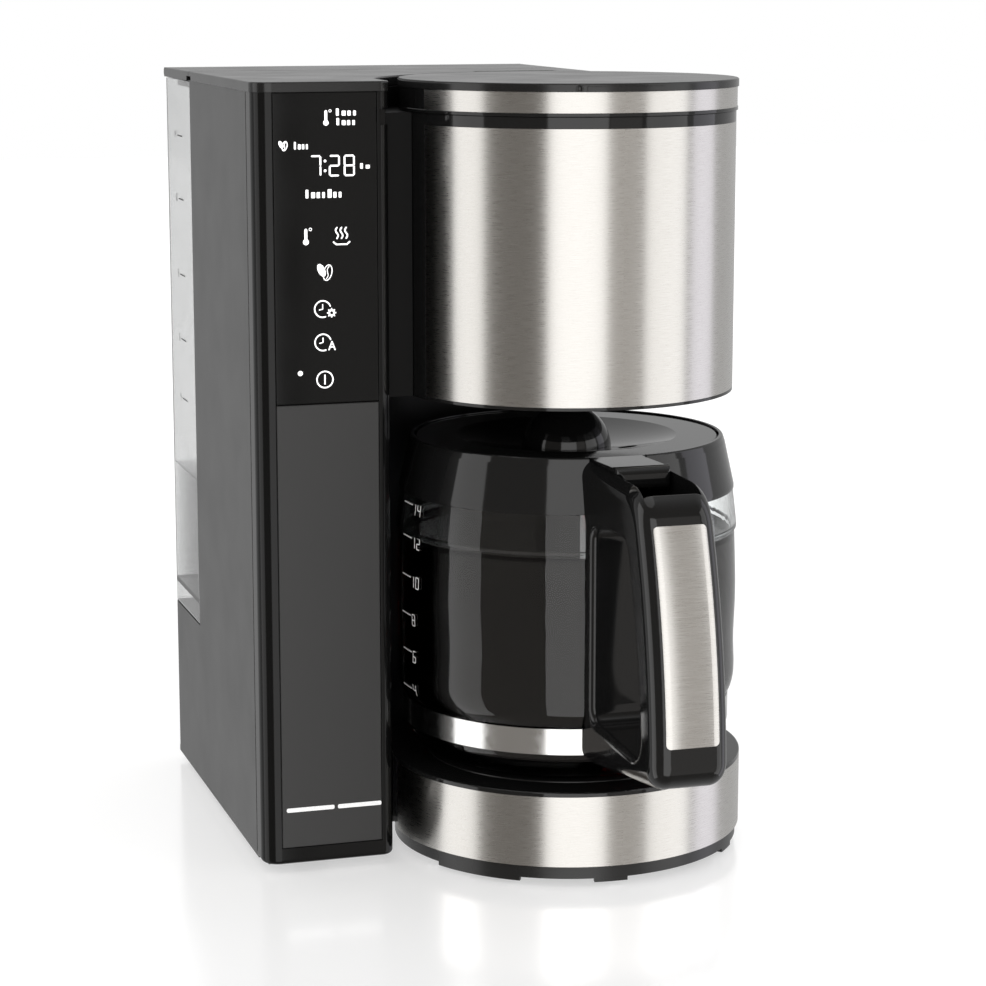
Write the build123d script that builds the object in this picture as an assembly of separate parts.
from build123d import *
import math
import os

# Drip coffee maker, millimetres, +Z up.  Every shape is drawn about the upright
# axis that the brew head, the base and the carafe share, with the front at -Y.
# save() then shifts it so that the origin is the middle of the bounding box's
# underside.

# ---- driving dimensions ----------------------------------------------------
HEIGHT = 362.0

TOWER_LEFT = -152.6
TOWER_RIGHT = -90.5
TOWER_FRONT = -21.4
REAR = 187.3
REAR_RIGHT = 35.8
WALL = 2.6
COVER_T = 4.5
COVER_OVERHANG = 0.4
BODY_TOP = HEIGHT - COVER_T
NOTCH_Z = (BODY_TOP - 1, BODY_TOP + 2.2)
BODY_BOTTOM = 7.0
TOWER_BOTTOM = 4.3
TOWER_CORNER_R = 8.0
TOWER_INNER_R = 5.5
FRAME_DEPTH = 16.0

PANEL_INSET_LEFT = 8.4
PANEL_INSET_RIGHT = 6.2
PANEL_T = 2.5
PANEL_BOTTOM = 12.2
PANEL_SPLIT = 218.6
PANEL_BACKING = 1.7

BAY_R = 90.5
BAY_CORNER_Y = 30.0
NECK_FRONT = -9.0
NECK_R = 77.75
COLUMN_FRONT = 98.0
CORD_X = 22.0
CORD_Z = 24.0

TANK_FRONT = 122.5
TANK_BOTTOM = 86.0
TANK_GAP = 1.0
TANK_FLOOR = 99.0
TANK_RIGHT = -15.0
TANK_WALL = 2.5
TANK_X = -60.0
TANK_Y = 155.0

HEAD_R = 77.5
HEAD_BOTTOM = 218.3
HEAD_BAND = (219.8, 342.3)
HEAD_TOP = 347.4
HEAD_WALL = 2.5
SHEET = 0.6
BAND_START = -74.0
BAND_END = 152.0

LID_R = 78.5
LID_BOTTOM = 347.6
LID_BAND_R = 77.9
LID_BAND = (349.1, 358.3)
LID_HINGE_Y = 82.0
HINGE_Z = HEIGHT - 2.3
LID_PIN_R = 1.25
TANK_LID_PIN_R = 1.2
LID_TONGUE = 20.0

BASE_R = 83.4
BASE_SKIRT_R = 81.9
BASE_BAND = (10.0, 42.8)
BASE_TOP = 45.0
BASE_BAND_START = -90.0
PLATE_R = 66.9
PLATE_TOP = 45.5

CARAFE_BOTTOM = PLATE_TOP + 0.3
GLASS_WALL = 2.0
STRAP = (61.0, 73.0)
COLLAR = (171.8, 196.7)
LID_TOP = 196.0
LID_EDGE_R = 71.2
DISH_R = 51.7
DISH_FLOOR = 190.2
DOME_R = 21.2
DOME_Z = 189.0
TAB_HALF = 12.6
TAB_CORNER_R = 4.0
TAB_HINGE_Y = -79.0
TAB_HINGE_Z = 189.6
TAB_HINGE_PIN_R = 1.5

HANDLE_HALF = 17.4
HANDLE_OUT = 169.3
RUN_FIT = 0.05

AXIS_X = -(TOWER_LEFT - COVER_OVERHANG + BASE_R) / 2
AXIS_Y = -(REAR - HANDLE_OUT) / 2


# ---- helpers ---------------------------------------------------------------
def save(shape, name):
    export_step(Pos(AXIS_X, AXIS_Y, 0) * shape, f"parts/{name}.step")


def block(x, y, z):
    middle = Pos((x[0] + x[1]) / 2, (y[0] + y[1]) / 2, (z[0] + z[1]) / 2)
    return middle * Box(x[1] - x[0], y[1] - y[0], z[1] - z[0])


def disc(r, z, x=0.0, y=0.0):
    return Pos(x, y, (z[0] + z[1]) / 2) * Cylinder(r, z[1] - z[0])


def ring(r_out, r_in, z, x=0.0, y=0.0):
    return disc(r_out, z, x, y) - disc(r_in, z, x, y)


def sector(r_out, r_in, z, start, end):
    """Part of a ring, with angles in degrees from the front towards the right."""
    on_axis = (Align.NONE, Align.NONE, Align.CENTER)
    wedge = Cylinder(r_out, z[1] - z[0], arc_size=end - start, align=on_axis)
    whole = Pos(0, 0, (z[0] + z[1]) / 2) * Rot(0, 0, start - 90) * wedge
    return whole - disc(r_in, z)


def at_angle(r, degrees):
    turn = math.radians(degrees)
    return (r * math.sin(turn), -r * math.cos(turn))


def prism(face, z):
    return Pos(0, 0, z[0]) * extrude(face, z[1] - z[0])


def polygon(*points):
    return make_face(Polyline(*points, close=True))


def rectangle(x, y):
    return polygon((x[0], y[0]), (x[1], y[0]), (x[1], y[1]), (x[0], y[1]))


def turned(*profile):
    """Solid of revolution about Z of an (r, z) polygon."""
    return revolve(Plane.XZ * polygon(*profile), Axis.Z)


def turned_wire(*edges):
    return revolve(Plane.XZ * make_face(list(edges)), Axis.Z)


def rod_x(r, x, y, z):
    return Pos((x[0] + x[1]) / 2, y, z) * Rot(0, 90, 0) * Cylinder(r, x[1] - x[0])


def rod_y(r, x, y, z):
    return Pos(x, (y[0] + y[1]) / 2, z) * Rot(90, 0, 0) * Cylinder(r, y[1] - y[0])


def side_prism(face, half):
    """Extrude a face drawn as (y, z) to x = -half .. +half."""
    drawn = Plane.YZ * face
    return extrude(drawn, half, both=True)


def pan_screw(x, y, z, length, r=1.6):
    head = disc(r * 2, (z, z + 1.8), x, y) - disc(r * 0.8, (z, z + 1.0), x, y)
    return head + disc(r, (z + 1.8, z + length), x, y)


def upright_fillet(shape, radius, x, y):
    """Round the upright edges that stand nearest to (x, y)."""
    edges = [
        e for e in shape.edges().filter_by(Axis.Z)
        if math.hypot(e.center().X - x, e.center().Y - y) < 0.6
    ]
    return fillet(edges, radius)


def pipe(points, bends, r_out, r_in):
    """Round tube along straight runs joined by tangent bends."""
    path = FilletPolyline(*points, radius=bends)
    start = Plane(origin=path @ 0, z_dir=path % 0)
    return sweep(start * (Circle(r_out) - Circle(r_in)), path=path)


# ---- casing ----------------------------------------------------------------
FOOT_SPOTS = [(-125.0, 4.0), (-132.0, 165.0), (14.0, 165.0)]
FOOT_SPOTS += [at_angle(68.0, a) for a in (-48.0, 48.0)]
SCREW_SPOTS = [(-140.0, 40.0), (-104.0, 40.0), (-104.0, 172.0), (-60.0, 174.0), (24.0, 120.0)]
SCREW_SPOTS += [at_angle(74.0, a) for a in (-75.0, 0.0, 75.0)]
CASE_SCREW_LENGTH = 8.0


def base_pan():
    left = TOWER_LEFT + 0.6
    seam = TOWER_FRONT + FRAME_DEPTH
    nose_x = (TOWER_LEFT + WALL + 0.1, TOWER_RIGHT - WALL - 0.1)
    nose = rectangle(nose_x, (TOWER_FRONT + PANEL_T + PANEL_BACKING + 0.1, seam))
    tower = rectangle((left, TOWER_RIGHT - 0.6), (seam - 0.2, REAR - 0.6))
    rear = rectangle((left, REAR_RIGHT - 0.6), (BAY_CORNER_Y, REAR - 0.6))
    floor = prism(nose + tower + rear, (4.0, BODY_BOTTOM))
    floor += disc(BASE_SKIRT_R, (4.0, BODY_BOTTOM))
    floor += ring(BASE_SKIRT_R, BASE_SKIRT_R - 2.4, (BODY_BOTTOM, BASE_BAND[0]))
    for start, end in ((-9.0, 2.0), (46.0, 55.0), (-64.0, -33.0)):
        floor += sector(BASE_SKIRT_R, BASE_SKIRT_R - 2.4, (2.2, 4.0), start, end)
    for x, y in FOOT_SPOTS:
        floor -= disc(8.2, (3.0, 5.2), x, y)
    for x, y in SCREW_SPOTS:
        floor -= disc(3.4, (3.0, 5.8), x, y)
        floor -= disc(1.7, (5.0, 8.0), x, y)
    for k in range(9):
        x = -32.0 + 8.0 * k
        floor -= block((x - 1.5, x + 1.5), (-24.0, 24.0), (3.0, 8.0))
    return floor


def feet():
    foot = disc(8.0, (0.0, 5.0))
    foot = fillet(foot.edges().filter_by(GeomType.CIRCLE).sort_by(Axis.Z)[0], 0.8)
    return [Pos(x, y) * foot for x, y in FOOT_SPOTS]


def case_screws():
    return [pan_screw(x, y, 4.0, CASE_SCREW_LENGTH) for x, y in SCREW_SPOTS]


def tower():
    """Upright casing beside the carafe: front frame, side panel and inner wall."""
    across = (TOWER_LEFT, TOWER_RIGHT)
    inside = (TOWER_LEFT + WALL, TOWER_RIGHT - WALL)
    front = TOWER_FRONT + PANEL_T + PANEL_BACKING
    shell = prism(rectangle(across, (TOWER_FRONT, REAR)), (TOWER_BOTTOM, TANK_BOTTOM))
    shell += prism(rectangle(across, (TOWER_FRONT, TANK_FRONT)), (TANK_BOTTOM, BODY_TOP))
    shell = upright_fillet(shell, TOWER_CORNER_R, TOWER_LEFT, TOWER_FRONT)
    shell = upright_fillet(shell, TOWER_INNER_R, TOWER_RIGHT, TOWER_FRONT)
    shell = upright_fillet(shell, 5.0, TOWER_LEFT, REAR)
    shell = fillet(shell.faces().sort_by(Axis.Z)[0].edges(), 2.2)
    shell -= prism(rectangle(inside, (front, REAR - WALL)), (TOWER_BOTTOM, TANK_BOTTOM - WALL))
    shell -= prism(rectangle(inside, (front, TANK_FRONT - WALL)), (TANK_BOTTOM - WALL - 1, BODY_TOP))
    panel = (TOWER_LEFT + PANEL_INSET_LEFT, TOWER_RIGHT - PANEL_INSET_RIGHT)
    recess = (TOWER_FRONT - 1.0, TOWER_FRONT + PANEL_T)
    shell -= block((panel[0] - 0.15, panel[1] + 0.15), recess, (PANEL_BOTTOM - 0.15, BODY_TOP))
    shell -= block((panel[0] + 4, panel[1] - 4), (TOWER_FRONT, front + 1), (PANEL_BOTTOM + 6, BODY_TOP - 7))
    shell -= block((TOWER_RIGHT - 5, TOWER_RIGHT + 1), (60.0, 90.0), (14, 34))
    shell -= ring_notch()
    seam = TOWER_FRONT + FRAME_DEPTH
    side_x = TOWER_LEFT + WALL
    frame_zone = block((-200, 0), (TOWER_FRONT - 5, seam - 0.25), (0, HEIGHT))
    side_zone = block((-200, side_x), (seam + 0.25, REAR + 5), (BODY_BOTTOM, HEIGHT))
    wall_zone = block((side_x, 0), (seam - 0.25, REAR + 5), (BODY_BOTTOM, HEIGHT))
    relief = block((-200, TOWER_LEFT + 0.8), (seam - 0.6, seam + 0.6), (0, HEIGHT))
    frame = (shell & frame_zone) - relief
    side = (shell & side_zone) - relief
    return frame, side, shell & wall_zone


def ring_notch():
    """Pocket in the tower's inner front corner, level with the ring under the brew lid."""
    z = (HEAD_BAND[1] + 0.4, LID_BAND[0] + 0.4)
    face = block((TOWER_RIGHT - 4.8, TOWER_RIGHT + 1), (TOWER_FRONT - 1, TOWER_FRONT + 2.4), z)
    return face + block((TOWER_RIGHT - 1.7, TOWER_RIGHT + 1), (TOWER_FRONT - 1, TOWER_FRONT + 9), z)


def front_plate(z):
    x = (TOWER_LEFT + PANEL_INSET_LEFT, TOWER_RIGHT - PANEL_INSET_RIGHT)
    plate = block(x, (TOWER_FRONT, TOWER_FRONT + PANEL_T), z)
    face = plate.faces().sort_by(Axis.Y)[0]
    return chamfer(face.edges(), 0.35)


def corner_well(grow=0.0):
    """Plan of the sunken corner between the tower and the brew lid."""
    curve = ThreePointArc((TOWER_RIGHT, 6.0), (-80.0, 31.5), (-58.0, 53.5))
    corner = make_face([
        curve,
        Line((-58.0, 53.5), (0.0, 0.0)),
        Line((0.0, 0.0), (0.0, -60.0)),
        Line((0.0, -60.0), (TOWER_RIGHT, -60.0)),
        Line((TOWER_RIGHT, -60.0), (TOWER_RIGHT, 6.0)),
    ])
    return offset(corner, grow) if grow else corner


def lower_block(z, grow):
    """Footprint of the rear casing under the brew head, grown inwards by grow."""
    x = (TOWER_RIGHT + 0.1 + grow, REAR_RIGHT - grow)
    face = rectangle(x, (BAY_CORNER_Y + grow, REAR - grow)) - Circle(BAY_R + grow)
    return prism(face, z)


def rear_casing():
    """Column behind the carafe, with the neck that carries the brew head."""
    low = (BODY_BOTTOM, TANK_BOTTOM)
    mid = (TANK_BOTTOM, HEAD_BOTTOM)
    high = (HEAD_BOTTOM, BODY_TOP - 0.4)
    tank_gap = block((-200, TANK_RIGHT + 0.3), (TANK_FRONT, 400), (TANK_BOTTOM, HEIGHT))
    left = TOWER_RIGHT + 0.1
    neck_face = rectangle((left, REAR_RIGHT), (NECK_FRONT, REAR)) - Circle(NECK_R)
    shell = lower_block(low, 0) + lower_block(mid, 0) + prism(neck_face, high)
    foot_face = rectangle((left, REAR_RIGHT), (BAY_CORNER_Y, TANK_FRONT))
    shell += prism(foot_face - Circle(BASE_R + 0.15), (BODY_BOTTOM, BASE_BAND[1]))
    shell = shell - tank_gap
    shell = upright_fillet(shell, 5.0, REAR_RIGHT, REAR)
    hollow = lower_block((BODY_BOTTOM, TANK_BOTTOM - WALL), WALL)
    column = rectangle((TANK_RIGHT + 0.3 + WALL, REAR_RIGHT - WALL), (80.0, REAR - WALL))
    hollow += prism(column - Circle(BAY_R + WALL), (20.0, BODY_TOP))
    behind = rectangle((left + WALL, REAR_RIGHT - WALL), (BAY_CORNER_Y + WALL, TANK_FRONT - WALL))
    hollow += prism(behind - Circle(BAY_R + WALL), (20.0, BODY_TOP))
    foot = rectangle((left + WALL, REAR_RIGHT - WALL), (BAY_CORNER_Y + WALL, TANK_FRONT - WALL))
    hollow += prism(foot - Circle(BASE_R + 0.15 + WALL), (BODY_BOTTOM, BASE_BAND[1] - WALL))
    neck = rectangle((left + WALL, REAR_RIGHT - WALL), (NECK_FRONT + WALL, TANK_FRONT - WALL))
    hollow += prism(neck - Circle(82.4), (HEAD_BOTTOM + WALL, BODY_TOP))
    hollow -= prism(corner_well(WALL), (HEAD_TOP - WALL, HEIGHT))
    shell -= hollow
    shell -= prism(corner_well(), (HEAD_TOP, HEIGHT))
    shell -= disc(LID_R + 0.7, (HEAD_TOP, HEIGHT))
    shell -= disc(7.0, (60.0, 90.0), TANK_X, TANK_Y)
    shell -= block((-20.0, 20.0), (60.0, 100.0), (14.0, 44.4))
    shell -= rod_y(TUBE_R + 0.1, 0.0, (70.0, 90.0), OUTLET_Z)
    shell -= rod_y(6.0, CORD_X, (180.0, 192.0), CORD_Z)
    return shell.solids().sort_by(SortBy.VOLUME)[-1]


def casing_parts():
    """The casing's four mouldings: bay wall, neck, lower rear casing and rear column."""
    whole = rear_casing()
    room = disc(BAY_R + WALL, (0.0, HEAD_BOTTOM))
    upper = block((-200, 200), (-100, COLUMN_FRONT), (HEAD_BOTTOM, HEIGHT))
    lower = block((-200, 200), (-100, 200), (0.0, TANK_BOTTOM - WALL))
    bay = whole & room
    rest = whole - room
    neck = rest & upper
    rest -= upper
    return bay, neck, rest & lower, rest - lower


def cord_gland():
    """Bushing that lines the supply opening low in the back wall."""
    sleeve = rod_y(5.9, CORD_X, (REAR - WALL - 3, REAR), CORD_Z)
    flange = rod_y(8.0, CORD_X, (REAR - WALL - 3, REAR - WALL - 1), CORD_Z)
    return sleeve + flange - rod_y(3.6, CORD_X, (REAR - 12, REAR + 4), CORD_Z)


def top_cover():
    out = COVER_OVERHANG
    tower_top = rectangle(
        (TOWER_LEFT - out, TOWER_RIGHT + 0.2), (TOWER_FRONT - out, TANK_FRONT - 0.2))
    rear_top = rectangle((TOWER_RIGHT, REAR_RIGHT + 0.2), (-9.0, TANK_FRONT - 0.2))
    opening = corner_well() + Circle(LID_R + 0.5)
    plate = prism(tower_top + (rear_top - opening), (BODY_TOP, HEIGHT))
    plate = upright_fillet(plate, TOWER_CORNER_R + out, TOWER_LEFT - out, TOWER_FRONT - out)
    plate = upright_fillet(plate, TOWER_INNER_R, TOWER_RIGHT + 0.2, TOWER_FRONT - out)
    plate = fillet(plate.faces().sort_by(Axis.Z)[-1].outer_wire().edges(), 0.7)
    notch = LID_TONGUE + 0.4
    plate -= block((-notch, notch), (60.0, LID_HINGE_Y + 2.7), (BODY_TOP - 1, HEIGHT + 1))
    for side in (-1, 1):
        bore = sorted((side * (notch - 1), side * (notch + 8)))
        plate -= rod_x(LID_PIN_R + RUN_FIT, bore, LID_HINGE_Y, HINGE_Z)
    left = TOWER_LEFT - out
    plate -= block((left - 1, left + 3.5), (TANK_FRONT - 5, TANK_FRONT), NOTCH_Z)
    return plate.solids().sort_by(SortBy.VOLUME)[-1]


# ---- water side ------------------------------------------------------------
RESERVOIR_HINGE_Y = REAR - 2.3
EAR_SPOTS = (-130.0, -34.0)
EAR_HALF = 3.0


def reservoir():
    x = (TOWER_LEFT, TANK_RIGHT)
    y = (TANK_FRONT + 0.3, REAR)
    tank = prism(rectangle(x, y), (TANK_BOTTOM + TANK_GAP, BODY_TOP - 0.5))
    tank = upright_fillet(tank, 5.0, TOWER_LEFT, REAR)
    inside = ((x[0] + TANK_WALL, x[1] - TANK_WALL), (y[0] + TANK_WALL, y[1] - TANK_WALL))
    water = upright_fillet(
        prism(rectangle(*inside), (TANK_FLOOR, HEIGHT)), 2.5, inside[0][0], inside[1][1])
    skirt = prism(rectangle(*inside), (TANK_BOTTOM, TANK_FLOOR - TANK_WALL))
    tank -= water
    tank -= skirt
    tank += ring(6.5, 4.0, (70.0, TANK_FLOOR - TANK_WALL), TANK_X, TANK_Y)
    tank -= disc(4.0, (60.0, TANK_FLOOR + 1), TANK_X, TANK_Y)
    for spot in EAR_SPOTS:
        ear = block((spot - EAR_HALF, spot + EAR_HALF), (REAR - 4.6, REAR), (340.0, HINGE_Z))
        ear += rod_x(2.3, (spot - EAR_HALF, spot + EAR_HALF), RESERVOIR_HINGE_Y, HINGE_Z)
        tank += ear - rod_x(TANK_LID_PIN_R + RUN_FIT, (spot - 5, spot + 5), RESERVOIR_HINGE_Y, HINGE_Z)
    return tank


def tank_strainer():
    """Slotted cup over the reservoir's outlet."""
    cup = disc(11.0, (TANK_FLOOR, TANK_FLOOR + 20), TANK_X, TANK_Y)
    cup -= disc(9.4, (TANK_FLOOR - 1, TANK_FLOOR + 18.4), TANK_X, TANK_Y)
    for k in range(6):
        slot = Box(30.0, 2.0, 12.0)
        cup -= Pos(TANK_X, TANK_Y, TANK_FLOOR + 8.5) * Rot(0, 0, 30 * k + 15) * slot
    return cup


def reservoir_lid():
    x = (TOWER_LEFT - COVER_OVERHANG, REAR_RIGHT + 0.2)
    y = (TANK_FRONT + 0.3, RESERVOIR_HINGE_Y)
    plate = block(x, y, (BODY_TOP, HEIGHT))
    plate = fillet(plate.edges().filter_by(Axis.Y).group_by(Axis.Z)[-1], 0.7)
    plate += rod_x(2.3, x, RESERVOIR_HINGE_Y, HINGE_Z)
    plate -= block((x[0] - 1, x[0] + 3.5), (y[0] - 1, y[0] + 5), NOTCH_Z)
    lip = prism(
        rectangle((TOWER_LEFT + 6, TANK_RIGHT - 6), (y[0] + 6, REAR - 14)), (BODY_TOP - 4, BODY_TOP))
    lip -= block((TOWER_LEFT + 8, TANK_RIGHT - 8), (y[0] + 8, REAR - 16), (BODY_TOP - 5, BODY_TOP))
    plate += lip
    for spot in EAR_SPOTS:
        gap = EAR_HALF + 0.4
        plate -= block((spot - gap, spot + gap), (REAR - 5.6, REAR + 1), (BODY_TOP - 1, HEIGHT + 1))
        plate -= rod_x(TANK_LID_PIN_R, (spot - 9, spot + 9), RESERVOIR_HINGE_Y, HINGE_Z)
    return plate


def reservoir_lid_pins():
    return [rod_x(TANK_LID_PIN_R, (s - 9, s + 9), RESERVOIR_HINGE_Y, HINGE_Z) for s in EAR_SPOTS]


PLATE_BOSS = 42.3
TUBE_R = 4.5
TUBE_BORE_R = 3.2
HOSE_R = 6.0
HOSE_BORE_R = TUBE_R + RUN_FIT
HEATER_Z = PLATE_BOSS - TUBE_R
HEATER_LOOP_R = 40.0
HEATER_LEG_END = 68.0
LEG_X = 11.0
INLET_Z = 24.0
OUTLET_Z = 341.0


def bent_loop(loop_r, r_out, r_in, leg_end):
    """Open loop under the warming plate, with two legs to the rear."""
    start = math.degrees(math.asin(LEG_X / loop_r))
    arc = CenterArc((0, 0), loop_r, 90 + start, 360 - 2 * start)
    spine = Wire([Line((-LEG_X, leg_end), arc @ 0), arc, Line(arc @ 1, (LEG_X, leg_end))])
    spine = Pos(0, 0, HEATER_Z) * spine
    end = Plane(origin=spine @ 0, z_dir=spine % 0)
    face = end * (Circle(r_out) - Circle(r_in)) if r_in else end * Circle(r_out)
    return sweep(face, path=spine, transition=Transition.ROUND)


def heater_tube():
    return bent_loop(HEATER_LOOP_R, TUBE_R, TUBE_BORE_R, HEATER_LEG_END)


def heating_element():
    rod = HEATER_LOOP_R + TUBE_R + 3.6
    span = 300.0
    arc = Pos(0, 0, HEATER_Z) * CenterArc((0, 0), rod, 90 + 30, span)
    return sweep(Plane(origin=arc @ 0, z_dir=arc % 0) * Circle(3.5), path=arc)


def heater_clamp():
    low = HEATER_Z - TUBE_R
    bar = block((-60.0, 60.0), (-6.0, 6.0), (low - 1.5, low))
    for side in (-1, 1):
        bar += block(sorted((side * 57.0, side * 60.0)), (-6.0, 6.0), (low, 44.0))
    return bar - disc(2.6, (low - 3, low + 3))


def thermostats():
    low = HEATER_Z - TUBE_R
    return [disc(8.0, (low - 10, low), *at_angle(HEATER_LOOP_R, turn)) for turn in (-50, 50)]


def thermal_fuse():
    low = HEATER_Z - TUBE_R
    barrel = rod_x(2.2, (-8.0, 8.0), -40.0, low - 2.2)
    return barrel + rod_x(0.5, (-16.0, 16.0), -40.0, low - 2.2)


def cold_hose():
    """Silicone hose from the reservoir's outlet down to the check valve."""
    start = TANK_BOTTOM - WALL - 0.6
    points = [
        (TANK_X, TANK_Y, start), (TANK_X, TANK_Y, INLET_Z),
        (-LEG_X, 128.0, INLET_Z), (-LEG_X, 112.0, INLET_Z)]
    return pipe(points, [18.0, 6.0], 8.8, 6.5 + RUN_FIT)


def check_valve():
    """One-way valve between the cold hose and the heater."""
    body = rod_y(6.5, -LEG_X, (108.0, 122.0), INLET_Z) + rod_y(TUBE_R, -LEG_X, (96.0, 108.0), INLET_Z)
    return body - rod_y(3.0, -LEG_X, (95.0, 123.0), INLET_Z)


def inlet_hose():
    points = [
        (-LEG_X, 57.0, HEATER_Z), (-LEG_X, 77.0, HEATER_Z),
        (-LEG_X, 90.0, INLET_Z), (-LEG_X, 107.5, INLET_Z)]
    return pipe(points, [10.0, 10.0], HOSE_R, HOSE_BORE_R)


def riser_tube():
    """Hot water hose from the heater up to the outlet above the basket."""
    points = [
        (LEG_X, 57.0, HEATER_Z), (LEG_X, 104.0, HEATER_Z),
        (0.0, 106.0, OUTLET_Z), (0.0, 84.0, OUTLET_Z)]
    return pipe(points, [12.0, 12.0], HOSE_R, HOSE_BORE_R)


def outlet_nozzle():
    """Spout through the head's back wall that feeds the shower plate."""
    return rod_y(TUBE_R, 0.0, (63.0, 92.0), OUTLET_Z) - rod_y(3.0, 0.0, (62.0, 93.0), OUTLET_Z)


# ---- brew head -------------------------------------------------------------
def head_shell():
    shell = disc(HEAD_R, (HEAD_BOTTOM, HEAD_TOP))
    shell -= disc(HEAD_R - SHEET - HEAD_WALL, (HEAD_BOTTOM + 3, HEAD_TOP))
    shell -= sector(HEAD_R + 1, HEAD_R - SHEET, HEAD_BAND, BAND_START, BAND_END)
    shell -= disc(16.0, (HEAD_BOTTOM - 1, HEAD_BOTTOM + 4))
    shell -= rod_y(TUBE_R + 0.1, 0.0, (60.0, 90.0), OUTLET_Z)
    return shell


def head_band():
    return sector(HEAD_R, HEAD_R - SHEET, HEAD_BAND, BAND_START, BAND_END)


BASKET_TOP = 334.0
BASKET_FLOOR = 238.0
BASKET_R = 62.0
BASKET_FOOT_R = 50.0
HEAD_FLOOR = HEAD_BOTTOM + 3.0
DRIP_TIP_Z = 210.6
DRIP_SEAL_Z = 242.6
SPRING_Z = (217.0, 226.0)
SPRING_R = 6.6


def brew_basket():
    """Flat-bottomed filter holder that drops into the brew head."""
    cup = turned(
        (0, BASKET_FLOOR - 2.4), (BASKET_FOOT_R, BASKET_FLOOR - 2.4), (BASKET_R, BASKET_TOP - 2.4),
        (HEAD_R - 4.0, BASKET_TOP - 2.4), (HEAD_R - 4.0, BASKET_TOP), (BASKET_R - 2.2, BASKET_TOP),
        (BASKET_FOOT_R - 2.2, BASKET_FLOOR), (0, BASKET_FLOOR))
    cup += ring(BASKET_FOOT_R - 6, BASKET_FOOT_R - 8.4, (HEAD_FLOOR, BASKET_FLOOR - 2.4))
    cup += ring(9.0, 6.0, (SPRING_Z[1], BASKET_FLOOR - 2.4))
    cup -= disc(6.0, (220.0, BASKET_FLOOR + 1))
    return cup


def drip_stop_valve():
    """Sprung plunger that the dome on the carafe's lid holds up."""
    tip = disc(12.0, (DRIP_TIP_Z, DRIP_TIP_Z + 3))
    stem = disc(4.0, (DRIP_TIP_Z + 3, DRIP_SEAL_Z))
    return tip + stem + disc(8.0, (SPRING_Z[0] - 2, SPRING_Z[0]))


def drip_stop_seal():
    """Washer on top of the plunger that closes the basket's outlet."""
    washer = disc(9.0, (DRIP_SEAL_Z, DRIP_SEAL_Z + 2.2))
    return fillet(washer.edges().filter_by(GeomType.CIRCLE), 0.5)


def drip_stop_spring():
    wire = 0.4
    coils = 4
    height = SPRING_Z[1] - SPRING_Z[0] - 2 * wire
    helix = Helix(pitch=height / coils, height=height, radius=SPRING_R)
    section = Plane(origin=helix @ 0, z_dir=helix % 0) * Circle(wire)
    return Pos(0, 0, SPRING_Z[0] + wire) * sweep(section, path=helix, is_frenet=True)


# ---- brew lid --------------------------------------------------------------
def brew_lid_cap():
    cap = disc(LID_R, (LID_BAND[1], HEIGHT))
    cap = fillet(cap.edges().filter_by(GeomType.CIRCLE).sort_by(Axis.Z)[-1], 0.8)
    tongue = (-LID_TONGUE, LID_TONGUE)
    barrel = rod_x(2.2, tongue, LID_HINGE_Y, HINGE_Z)
    hinge = barrel + block(tongue, (70.0, LID_HINGE_Y), (HINGE_Z - 1.4, HINGE_Z + 2.2))
    cap += hinge
    for side in (-1, 1):
        cap -= rod_x(LID_PIN_R, sorted((side * 12.0, side * 21.0)), LID_HINGE_Y, HINGE_Z)
    cap += sector(LID_R + 0.4, LID_R - 2, (LID_BAND[1], LID_BAND[1] + 2.4), -12.5, 14.0)
    x, y = at_angle(LID_R + 1.4, -15.0)
    cap -= Pos(x, y, LID_BAND[1] + 1.4) * Sphere(2.2)
    return cap


def brew_lid_liner():
    """Black ring and floor that carry the lid's sheet-metal band."""
    z = (LID_BOTTOM, LID_BAND[1])
    body = disc(LID_BAND_R + 0.3, (z[0], LID_BAND[0])) + disc(LID_BAND_R, (LID_BAND[0], z[1]))
    body -= sector(LID_BAND_R + 1, LID_BAND_R - SHEET, LID_BAND, BAND_START, BAND_END)
    body -= disc(LID_BAND_R - SHEET - 2.4, (LID_BOTTOM + 2.4, z[1] + 1))
    body -= disc(9.0, (LID_BOTTOM - 1, LID_BOTTOM + 3))
    return body


def brew_lid_band():
    return sector(LID_BAND_R, LID_BAND_R - SHEET, LID_BAND, BAND_START, BAND_END)


def brew_lid_pins():
    return [rod_x(LID_PIN_R, sorted((s * 12.0, s * 27.0)), LID_HINGE_Y, HINGE_Z) for s in (-1, 1)]


def shower_head():
    """Perforated plate under the lid that spreads the hot water."""
    plate = disc(46.0, (341.0, 343.0)) + disc(8.9, (343.0, 352.0)) + ring(46.0, 43.5, (343.0, 347.6))
    plate += block((-9.0, 9.0), (40.0, 61.0), (336.0, 347.6)) - disc(43.5, (330.0, 350.0))
    plate -= block((-6.5, 6.5), (42.0, 62.0), (337.5, 346.2))
    plate -= disc(5.0, (344.0, 353.0))
    for count, r in ((6, 14.0), (12, 26.0), (18, 38.0)):
        for k in range(count):
            x, y = at_angle(r, 360.0 * k / count)
            plate -= disc(1.5, (340.0, 344.0), x, y)
    return plate


# ---- base and heater -------------------------------------------------------
def base_ring():
    tube = ring(BASE_R - SHEET, BASE_R - SHEET - 2.4, BASE_BAND)
    return tube - block((-30.0, 30.0), (60.0, 90.0), (9.0, 44.0))


def base_band():
    return sector(BASE_R, BASE_R - SHEET, BASE_BAND, BASE_BAND_START, BAND_END)


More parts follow.
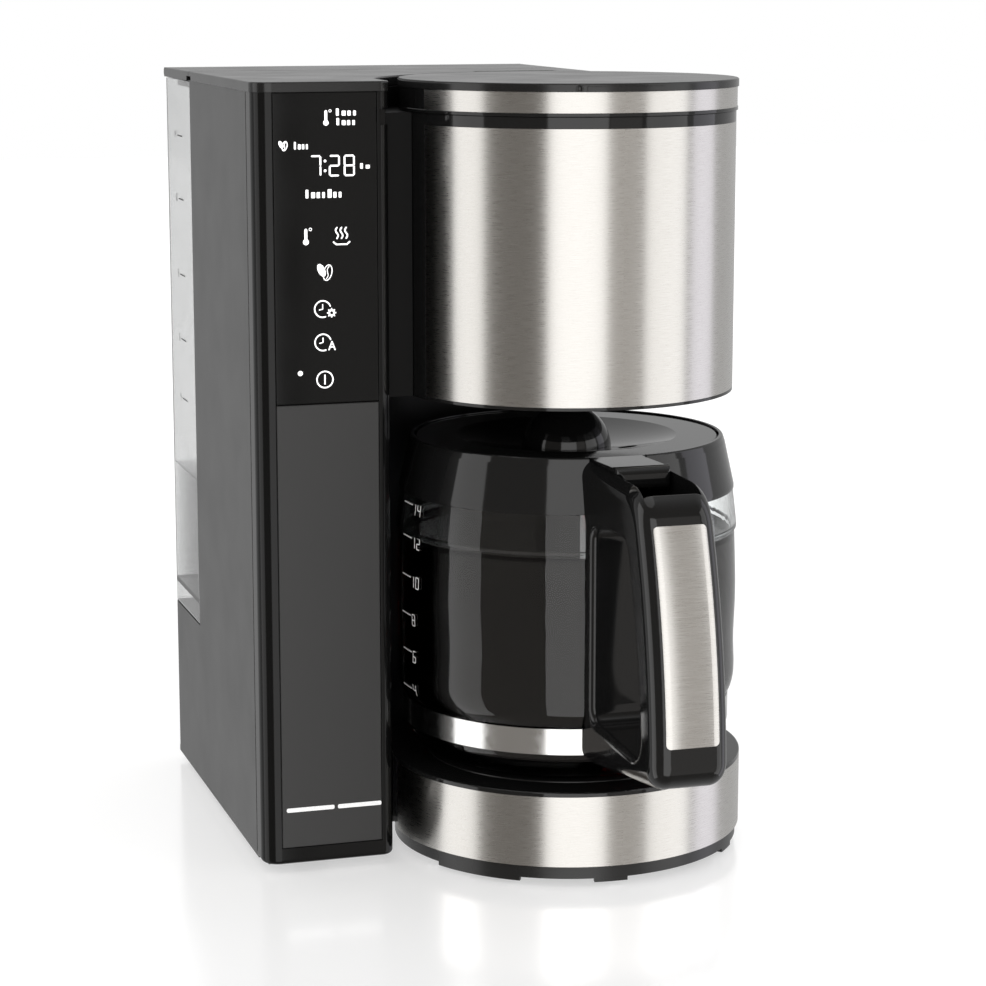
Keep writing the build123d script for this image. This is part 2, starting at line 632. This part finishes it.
def base_top():
    z = (BASE_BAND[1], BASE_TOP)
    behind = rectangle((TOWER_RIGHT + 0.2, REAR_RIGHT), (30.0, 92.0)) & Circle(BAY_R - 0.2)
    plate = prism(Circle(BASE_R) + behind, z)
    plate = fillet(plate.faces().sort_by(Axis.Z)[-1].edges(), 0.5)
    plate -= disc(PLATE_R - 2.5, (z[0] - 1, z[1] + 1))
    plate -= disc(PLATE_R + 0.3, (44.0, z[1] + 1))
    plate -= block((-20.0, 20.0), (60.0, 95.0), (z[0] - 1, 44.0))
    return plate


def warming_plate():
    plate = disc(PLATE_R, (44.0, PLATE_TOP)) + disc(54.0, (PLATE_BOSS, 44.0))
    return fillet(plate.edges().filter_by(GeomType.CIRCLE).sort_by(Axis.Z)[-1], 0.5)


# ---- carafe ----------------------------------------------------------------
def glass_outline(inset):
    """Outer (r, z) line of the vessel, moved inwards by inset."""
    foot = CARAFE_BOTTOM + inset
    lower = ThreePointArc((60.0, foot), (71.5 - inset * 0.8, 51.0 + inset * 0.6), (76.8 - inset, 61.5))
    strap = Line((76.8 - inset, 61.5), (76.8 - inset, 73.2))
    belly = Spline(
        (76.8 - inset, 73.2), (79.0 - inset, 77.5), (79.9 - inset, 95.0), (80.4 - inset, 125.0),
        (79.8 - inset, 155.0), (78.3 - inset, 172.6), tangents=((0.6, 0.8), (-0.12, 0.99)))
    return foot, lower, strap, belly


def vessel(inset, rim_z, neck_r):
    foot, lower, strap, belly = glass_outline(inset)
    shoulder = ThreePointArc(
        (78.3 - inset, 172.6), (75.4 - inset * 1.1, 174.8), (neck_r + 3.0 - inset, 177.0 - inset))
    neck = ThreePointArc(
        (neck_r + 3.0 - inset, 177.0 - inset), (neck_r - inset * 0.9, 179.6 - inset * 0.5),
        (neck_r - inset, 183.0))
    rim = Line((neck_r - inset, 183.0), (neck_r - inset, rim_z))
    return turned_wire(
        Line((0.0, foot), (60.0, foot)), lower, strap, belly, shoulder, neck, rim,
        Line((neck_r - inset, rim_z), (0.0, rim_z)), Line((0.0, rim_z), (0.0, foot)))


NECK_GLASS_R = 67.8
GLASS_RIM = 189.0


def carafe_glass():
    return vessel(0.0, GLASS_RIM, NECK_GLASS_R) - vessel(GLASS_WALL, GLASS_RIM + 1, NECK_GLASS_R)


def collar_body():
    low, high = COLLAR
    return turned(
        (78.9, low), (78.9, low + 1.4), (74.4, high - 3.2), (73.5, high - 0.6), (72.9, high),
        (LID_EDGE_R + 0.4, high), (LID_EDGE_R + 0.4, 189.4), (NECK_GLASS_R + 0.1, 189.4),
        (NECK_GLASS_R + 0.1, 180.6), (NECK_GLASS_R + 3.9, 178.2), (77.6, 174.9), (78.42, 172.8),
        (78.42, low))


def carafe_collar():
    """Black ring that grips the glass, with the pouring lip opposite the handle."""
    high = COLLAR[1]
    body = collar_body()
    lip = prism(polygon((-13.0, 70.0), (0.0, 85.0), (13.0, 70.0)), (184.0, high))
    body += lip - disc(74.0, (180.0, high + 1))
    body -= prism(polygon((-9.0, 68.0), (0.0, 81.0), (9.0, 68.0)), (190.5, high + 1))
    tab_gap = TAB_HALF + 1.0
    body -= block((-tab_gap, tab_gap), (-90.0, -60.0), (185.6, high + 1))
    return body


def carafe_strap():
    return ring(77.5, 76.85, STRAP)


HANDLE_CORNERS = ((-70.0, 196.2), (-143.9, 195.2), (-169.53, 69.7), (-70.0, 55.6))
HANDLE_BEND_R = 22.0
HANDLE_HEEL_R = 11.0


def handle_outline():
    """Outer (y, z) face of the handle."""
    inner_top, bend, heel, inner_low = HANDLE_CORNERS
    face = make_face([
        Line(inner_low, inner_top),
        Line(inner_top, bend),
        ThreePointArc(bend, (-161.9, 138.0), heel),
        Line(heel, inner_low),
    ])
    face = fillet(face.vertices().sort_by_distance(Vector(*bend, 0))[0], HANDLE_BEND_R)
    return fillet(face.vertices().sort_by_distance(Vector(*heel, 0))[0], HANDLE_HEEL_R)


FINGER_CORNERS = ((-86.2, 169.8), (-130.8, 170.4), (-151.6, 76.8), (-86.2, 79.6))
FINGER_CORNER_R = (9.0, 8.0, 11.0, 7.0)


def finger_gap():
    """(y, z) outline of the space that the fingers go through."""
    top, front, low, inner = FINGER_CORNERS
    face = make_face([
        Line(inner, top),
        Line(top, front),
        ThreePointArc(front, (-144.2, 124.0), low),
        Line(low, inner),
    ])
    for corner, radius in zip(FINGER_CORNERS, FINGER_CORNER_R):
        face = fillet(face.vertices().sort_by_distance(Vector(*corner, 0))[0], radius)
    return face


def thumb_trough():
    """(y, z) outline of the hollow under the thumb tab, open at the top."""
    return make_face([
        Line((-60.0, 204.0), (-60.0, 182.0)),
        Line((-60.0, 182.0), (-96.0, 181.6)),
        Spline((-96.0, 181.6), (-118.0, 177.4), (-131.0, 179.2), (-139.6, 188.0), (-141.4, 204.0)),
        Line((-141.4, 204.0), (-60.0, 204.0)),
    ])


def carafe_envelope():
    """Space that the vessel, strap and collar fill, with room round the glass."""
    swept = turned(
        (0, 40.0), (80.9, 40.0), (80.9, 168.5), (78.9, COLLAR[0]), (78.9, COLLAR[0] + 1.4),
        (74.4, COLLAR[1] - 3.2), (73.5, COLLAR[1] - 0.6), (72.9, COLLAR[1]), (0, COLLAR[1]))
    notch = turned((77.5, STRAP[0]), (90.0, STRAP[0]), (90.0, STRAP[1]), (77.5, STRAP[1]))
    return swept - notch


INSERT = (88.0, 180.0)
INSERT_HALF = 12.0
INSERT_T = 2.6
HANDLE_EDGE_R = 8.0


def handle_blank():
    """Handle before its openings are cut, with its outer edges rounded."""
    body = side_prism(handle_outline(), HANDLE_HALF)
    inner = HANDLE_CORNERS[0][0]
    edges = [
        edge for edge in body.edges()
        if abs(abs(edge.center().X) - HANDLE_HALF) < 0.01 and edge.center().Y < inner - 1
    ]
    return fillet(edges, HANDLE_EDGE_R)


def insert_space(blank):
    """Flat-backed plate that fills the handle's rounded outer face between two heights."""
    face = handle_outline()
    slab = side_prism(face - Pos(INSERT_T, 0) * face, INSERT_HALF)
    window = block((-INSERT_HALF, INSERT_HALF), (-200.0, -100.0), INSERT)
    window = fillet(window.edges().filter_by(Axis.Y), 2.0)
    return (slab & window) & blank


def carafe_handle():
    blank = handle_blank()
    body = blank - side_prism(finger_gap(), HANDLE_HALF + 5)
    sides = [face for face in body.faces() if abs(abs(face.center().X) - HANDLE_HALF) < 0.1]
    rims = [edge for face in sides for wire in face.inner_wires() for edge in wire.edges()]
    body = fillet(rims, 3.0)
    body -= carafe_envelope()
    body -= side_prism(thumb_trough(), TAB_HALF + 0.6)
    body -= rod_x(TAB_HINGE_PIN_R, (-15.0, 15.0), TAB_HINGE_Y, TAB_HINGE_Z)
    body -= insert_space(blank)
    body -= pan_hole()
    return body.solids().sort_by(SortBy.VOLUME)[-1]


def pan_hole():
    return disc(1.7, (50.0, 66.0), 0.0, -92.0) + disc(3.5, (50.0, 60.5), 0.0, -92.0)


def handle_screw():
    return disc(3.3, (58.6, 60.5), 0.0, -92.0) + disc(1.65, (60.5, 66.0), 0.0, -92.0)


def handle_insert():
    return insert_space(handle_blank())


def carafe_lid():
    """Lid with a funnel dish, a dome that opens the drip stop, and a thumb tab."""
    body = turned((0, 186.5), (66.5, 189.6), (LID_EDGE_R, 189.8), (LID_EDGE_R, LID_TOP - 0.8),
                  (LID_EDGE_R - 0.8, LID_TOP), (0, LID_TOP))
    depth = LID_TOP - DISH_FLOOR
    bowl_r = (DISH_R ** 2 + depth ** 2) / (2 * depth)
    body -= Pos(0, 0, LID_TOP - depth + bowl_r) * Sphere(bowl_r)
    body += (Pos(0, 0, DOME_Z) * Sphere(DOME_R)) & disc(30.0, (DISH_FLOOR - 3, DOME_Z + DOME_R + 1))
    body -= (Pos(0, 0, DOME_Z - 2.5) * Sphere(DOME_R)) & disc(30.0, (180.0, DOME_Z + DOME_R))
    x, y = at_angle(34.0, 38.0)
    body -= disc(4.5, (180.0, 200.0), x, y)
    half = TAB_HALF
    tab = make_face([
        Line((-68.0, LID_TOP), (-100.0, LID_TOP + 1.0)),
        ThreePointArc((-100.0, LID_TOP + 1.0), (-106.0, LID_TOP + 0.2), (-107.5, LID_TOP - 3.0)),
        ThreePointArc((-107.5, LID_TOP - 3.0), (-107.6, LID_TOP - 5.5), (-106.2, LID_TOP - 7.6)),
        ThreePointArc((-106.2, LID_TOP - 7.6), (-101.0, LID_TOP - 4.4), (-90.0, LID_TOP - 3.6)),
        Line((-90.0, LID_TOP - 3.6), (-68.0, LID_TOP - 4.0)),
        Line((-68.0, LID_TOP - 4.0), (-68.0, LID_TOP)),
    ])
    tab_plan = rectangle((-half, half), (-107.6, -60.0))
    tab_plan = fillet(tab_plan.vertices().sort_by(Axis.Y)[:2], TAB_CORNER_R)
    body += side_prism(tab, half) & prism(tab_plan, (LID_TOP - 10, LID_TOP + 5))
    knuckle = rod_x(3.2, (-half, half), TAB_HINGE_Y, TAB_HINGE_Z)
    knuckle += block((-half, half), (TAB_HINGE_Y - 3.2, TAB_HINGE_Y + 3.2), (TAB_HINGE_Z, LID_TOP - 3.5))
    body += knuckle
    return body - rod_x(TAB_HINGE_PIN_R + RUN_FIT, (-half - 1, half + 1), TAB_HINGE_Y, TAB_HINGE_Z)


def carafe_lid_pin():
    return rod_x(TAB_HINGE_PIN_R, (-15.0, 15.0), TAB_HINGE_Y, TAB_HINGE_Z)


# ---- controls --------------------------------------------------------------
PANEL_MID = (TOWER_LEFT + PANEL_INSET_LEFT + TOWER_RIGHT - PANEL_INSET_RIGHT) / 2
BOARD_Y = TOWER_FRONT + PANEL_T + 12.0


def display_module():
    return block(
        (PANEL_MID - 22, PANEL_MID + 22),
        (TOWER_FRONT + PANEL_T + PANEL_BACKING, BOARD_Y - 0.2), (306.0, 348.0))


def control_board():
    board = block((TOWER_LEFT + 5, TOWER_RIGHT - 5), (BOARD_Y, BOARD_Y + 1.6), (222.0, 350.0))
    for z in (240.0, 262.0, 284.0):
        board += block((PANEL_MID - 6, PANEL_MID + 6), (BOARD_Y + 1.6, BOARD_Y + 3.4), (z, z + 12))
    return board


def power_board():
    y = 20.0
    board = block((TOWER_LEFT + 6, TOWER_LEFT + 7.6), (y, y + 80), (40.0, 120.0))
    board += block((TOWER_LEFT + 7.6, TOWER_LEFT + 24), (y + 8, y + 28), (50.0, 66.0))
    board += block((TOWER_LEFT + 7.6, TOWER_LEFT + 29), (y + 36, y + 62), (78.0, 104.0))
    for z in (52.0, 70.0, 88.0):
        board += rod_x(4.0, (TOWER_LEFT + 7.6, TOWER_LEFT + 20), y + 70, z)
    return board


# ---- write the pieces ------------------------------------------------------
def group(solids):
    return Compound(list(solids))


os.makedirs("parts", exist_ok=True)
tower_frame, side_panel, tower_wall = tower()
bay_wall, neck_casing, rear_casing_low, rear_column = casing_parts()
pieces = {
    "base_pan": base_pan(),
    "feet": group(feet()),
    "case_screws": group(case_screws()),
    "tower_frame": tower_frame,
    "side_panel": side_panel,
    "tower_wall": tower_wall,
    "front_panel": front_plate((PANEL_BOTTOM, PANEL_SPLIT - 0.15)),
    "control_panel": front_plate((PANEL_SPLIT + 0.15, BODY_TOP)),
    "bay_wall": bay_wall,
    "neck_casing": neck_casing,
    "rear_casing": rear_casing_low,
    "rear_column": rear_column,
    "cord_gland": cord_gland(),
    "top_cover": top_cover(),
    "reservoir": reservoir(),
    "tank_strainer": tank_strainer(),
    "reservoir_lid": reservoir_lid(),
    "reservoir_lid_pins": group(reservoir_lid_pins()),
    "heater_tube": heater_tube(),
    "heating_element": heating_element(),
    "heater_clamp": heater_clamp(),
    "thermostats": group(thermostats()),
    "thermal_fuse": thermal_fuse(),
    "cold_hose": cold_hose(),
    "check_valve": check_valve(),
    "inlet_hose": inlet_hose(),
    "riser_tube": riser_tube(),
    "outlet_nozzle": outlet_nozzle(),
    "head_shell": head_shell(),
    "head_band": head_band(),
    "brew_basket": brew_basket(),
    "drip_stop_valve": drip_stop_valve(),
    "drip_stop_seal": drip_stop_seal(),
    "drip_stop_spring": drip_stop_spring(),
    "brew_lid_cap": brew_lid_cap(),
    "brew_lid_liner": brew_lid_liner(),
    "brew_lid_band": brew_lid_band(),
    "brew_lid_pins": group(brew_lid_pins()),
    "shower_head": shower_head(),
    "base_ring": base_ring(),
    "base_band": base_band(),
    "base_top": base_top(),
    "warming_plate": warming_plate(),
    "carafe_glass": carafe_glass(),
    "carafe_collar": carafe_collar(),
    "carafe_strap": carafe_strap(),
    "carafe_handle": carafe_handle(),
    "handle_screw": handle_screw(),
    "handle_insert": handle_insert(),
    "carafe_lid": carafe_lid(),
    "carafe_lid_pin": carafe_lid_pin(),
    "display_module": display_module(),
    "control_board": control_board(),
    "power_board": power_board(),
}
for name, piece in pieces.items():
    save(piece, name)
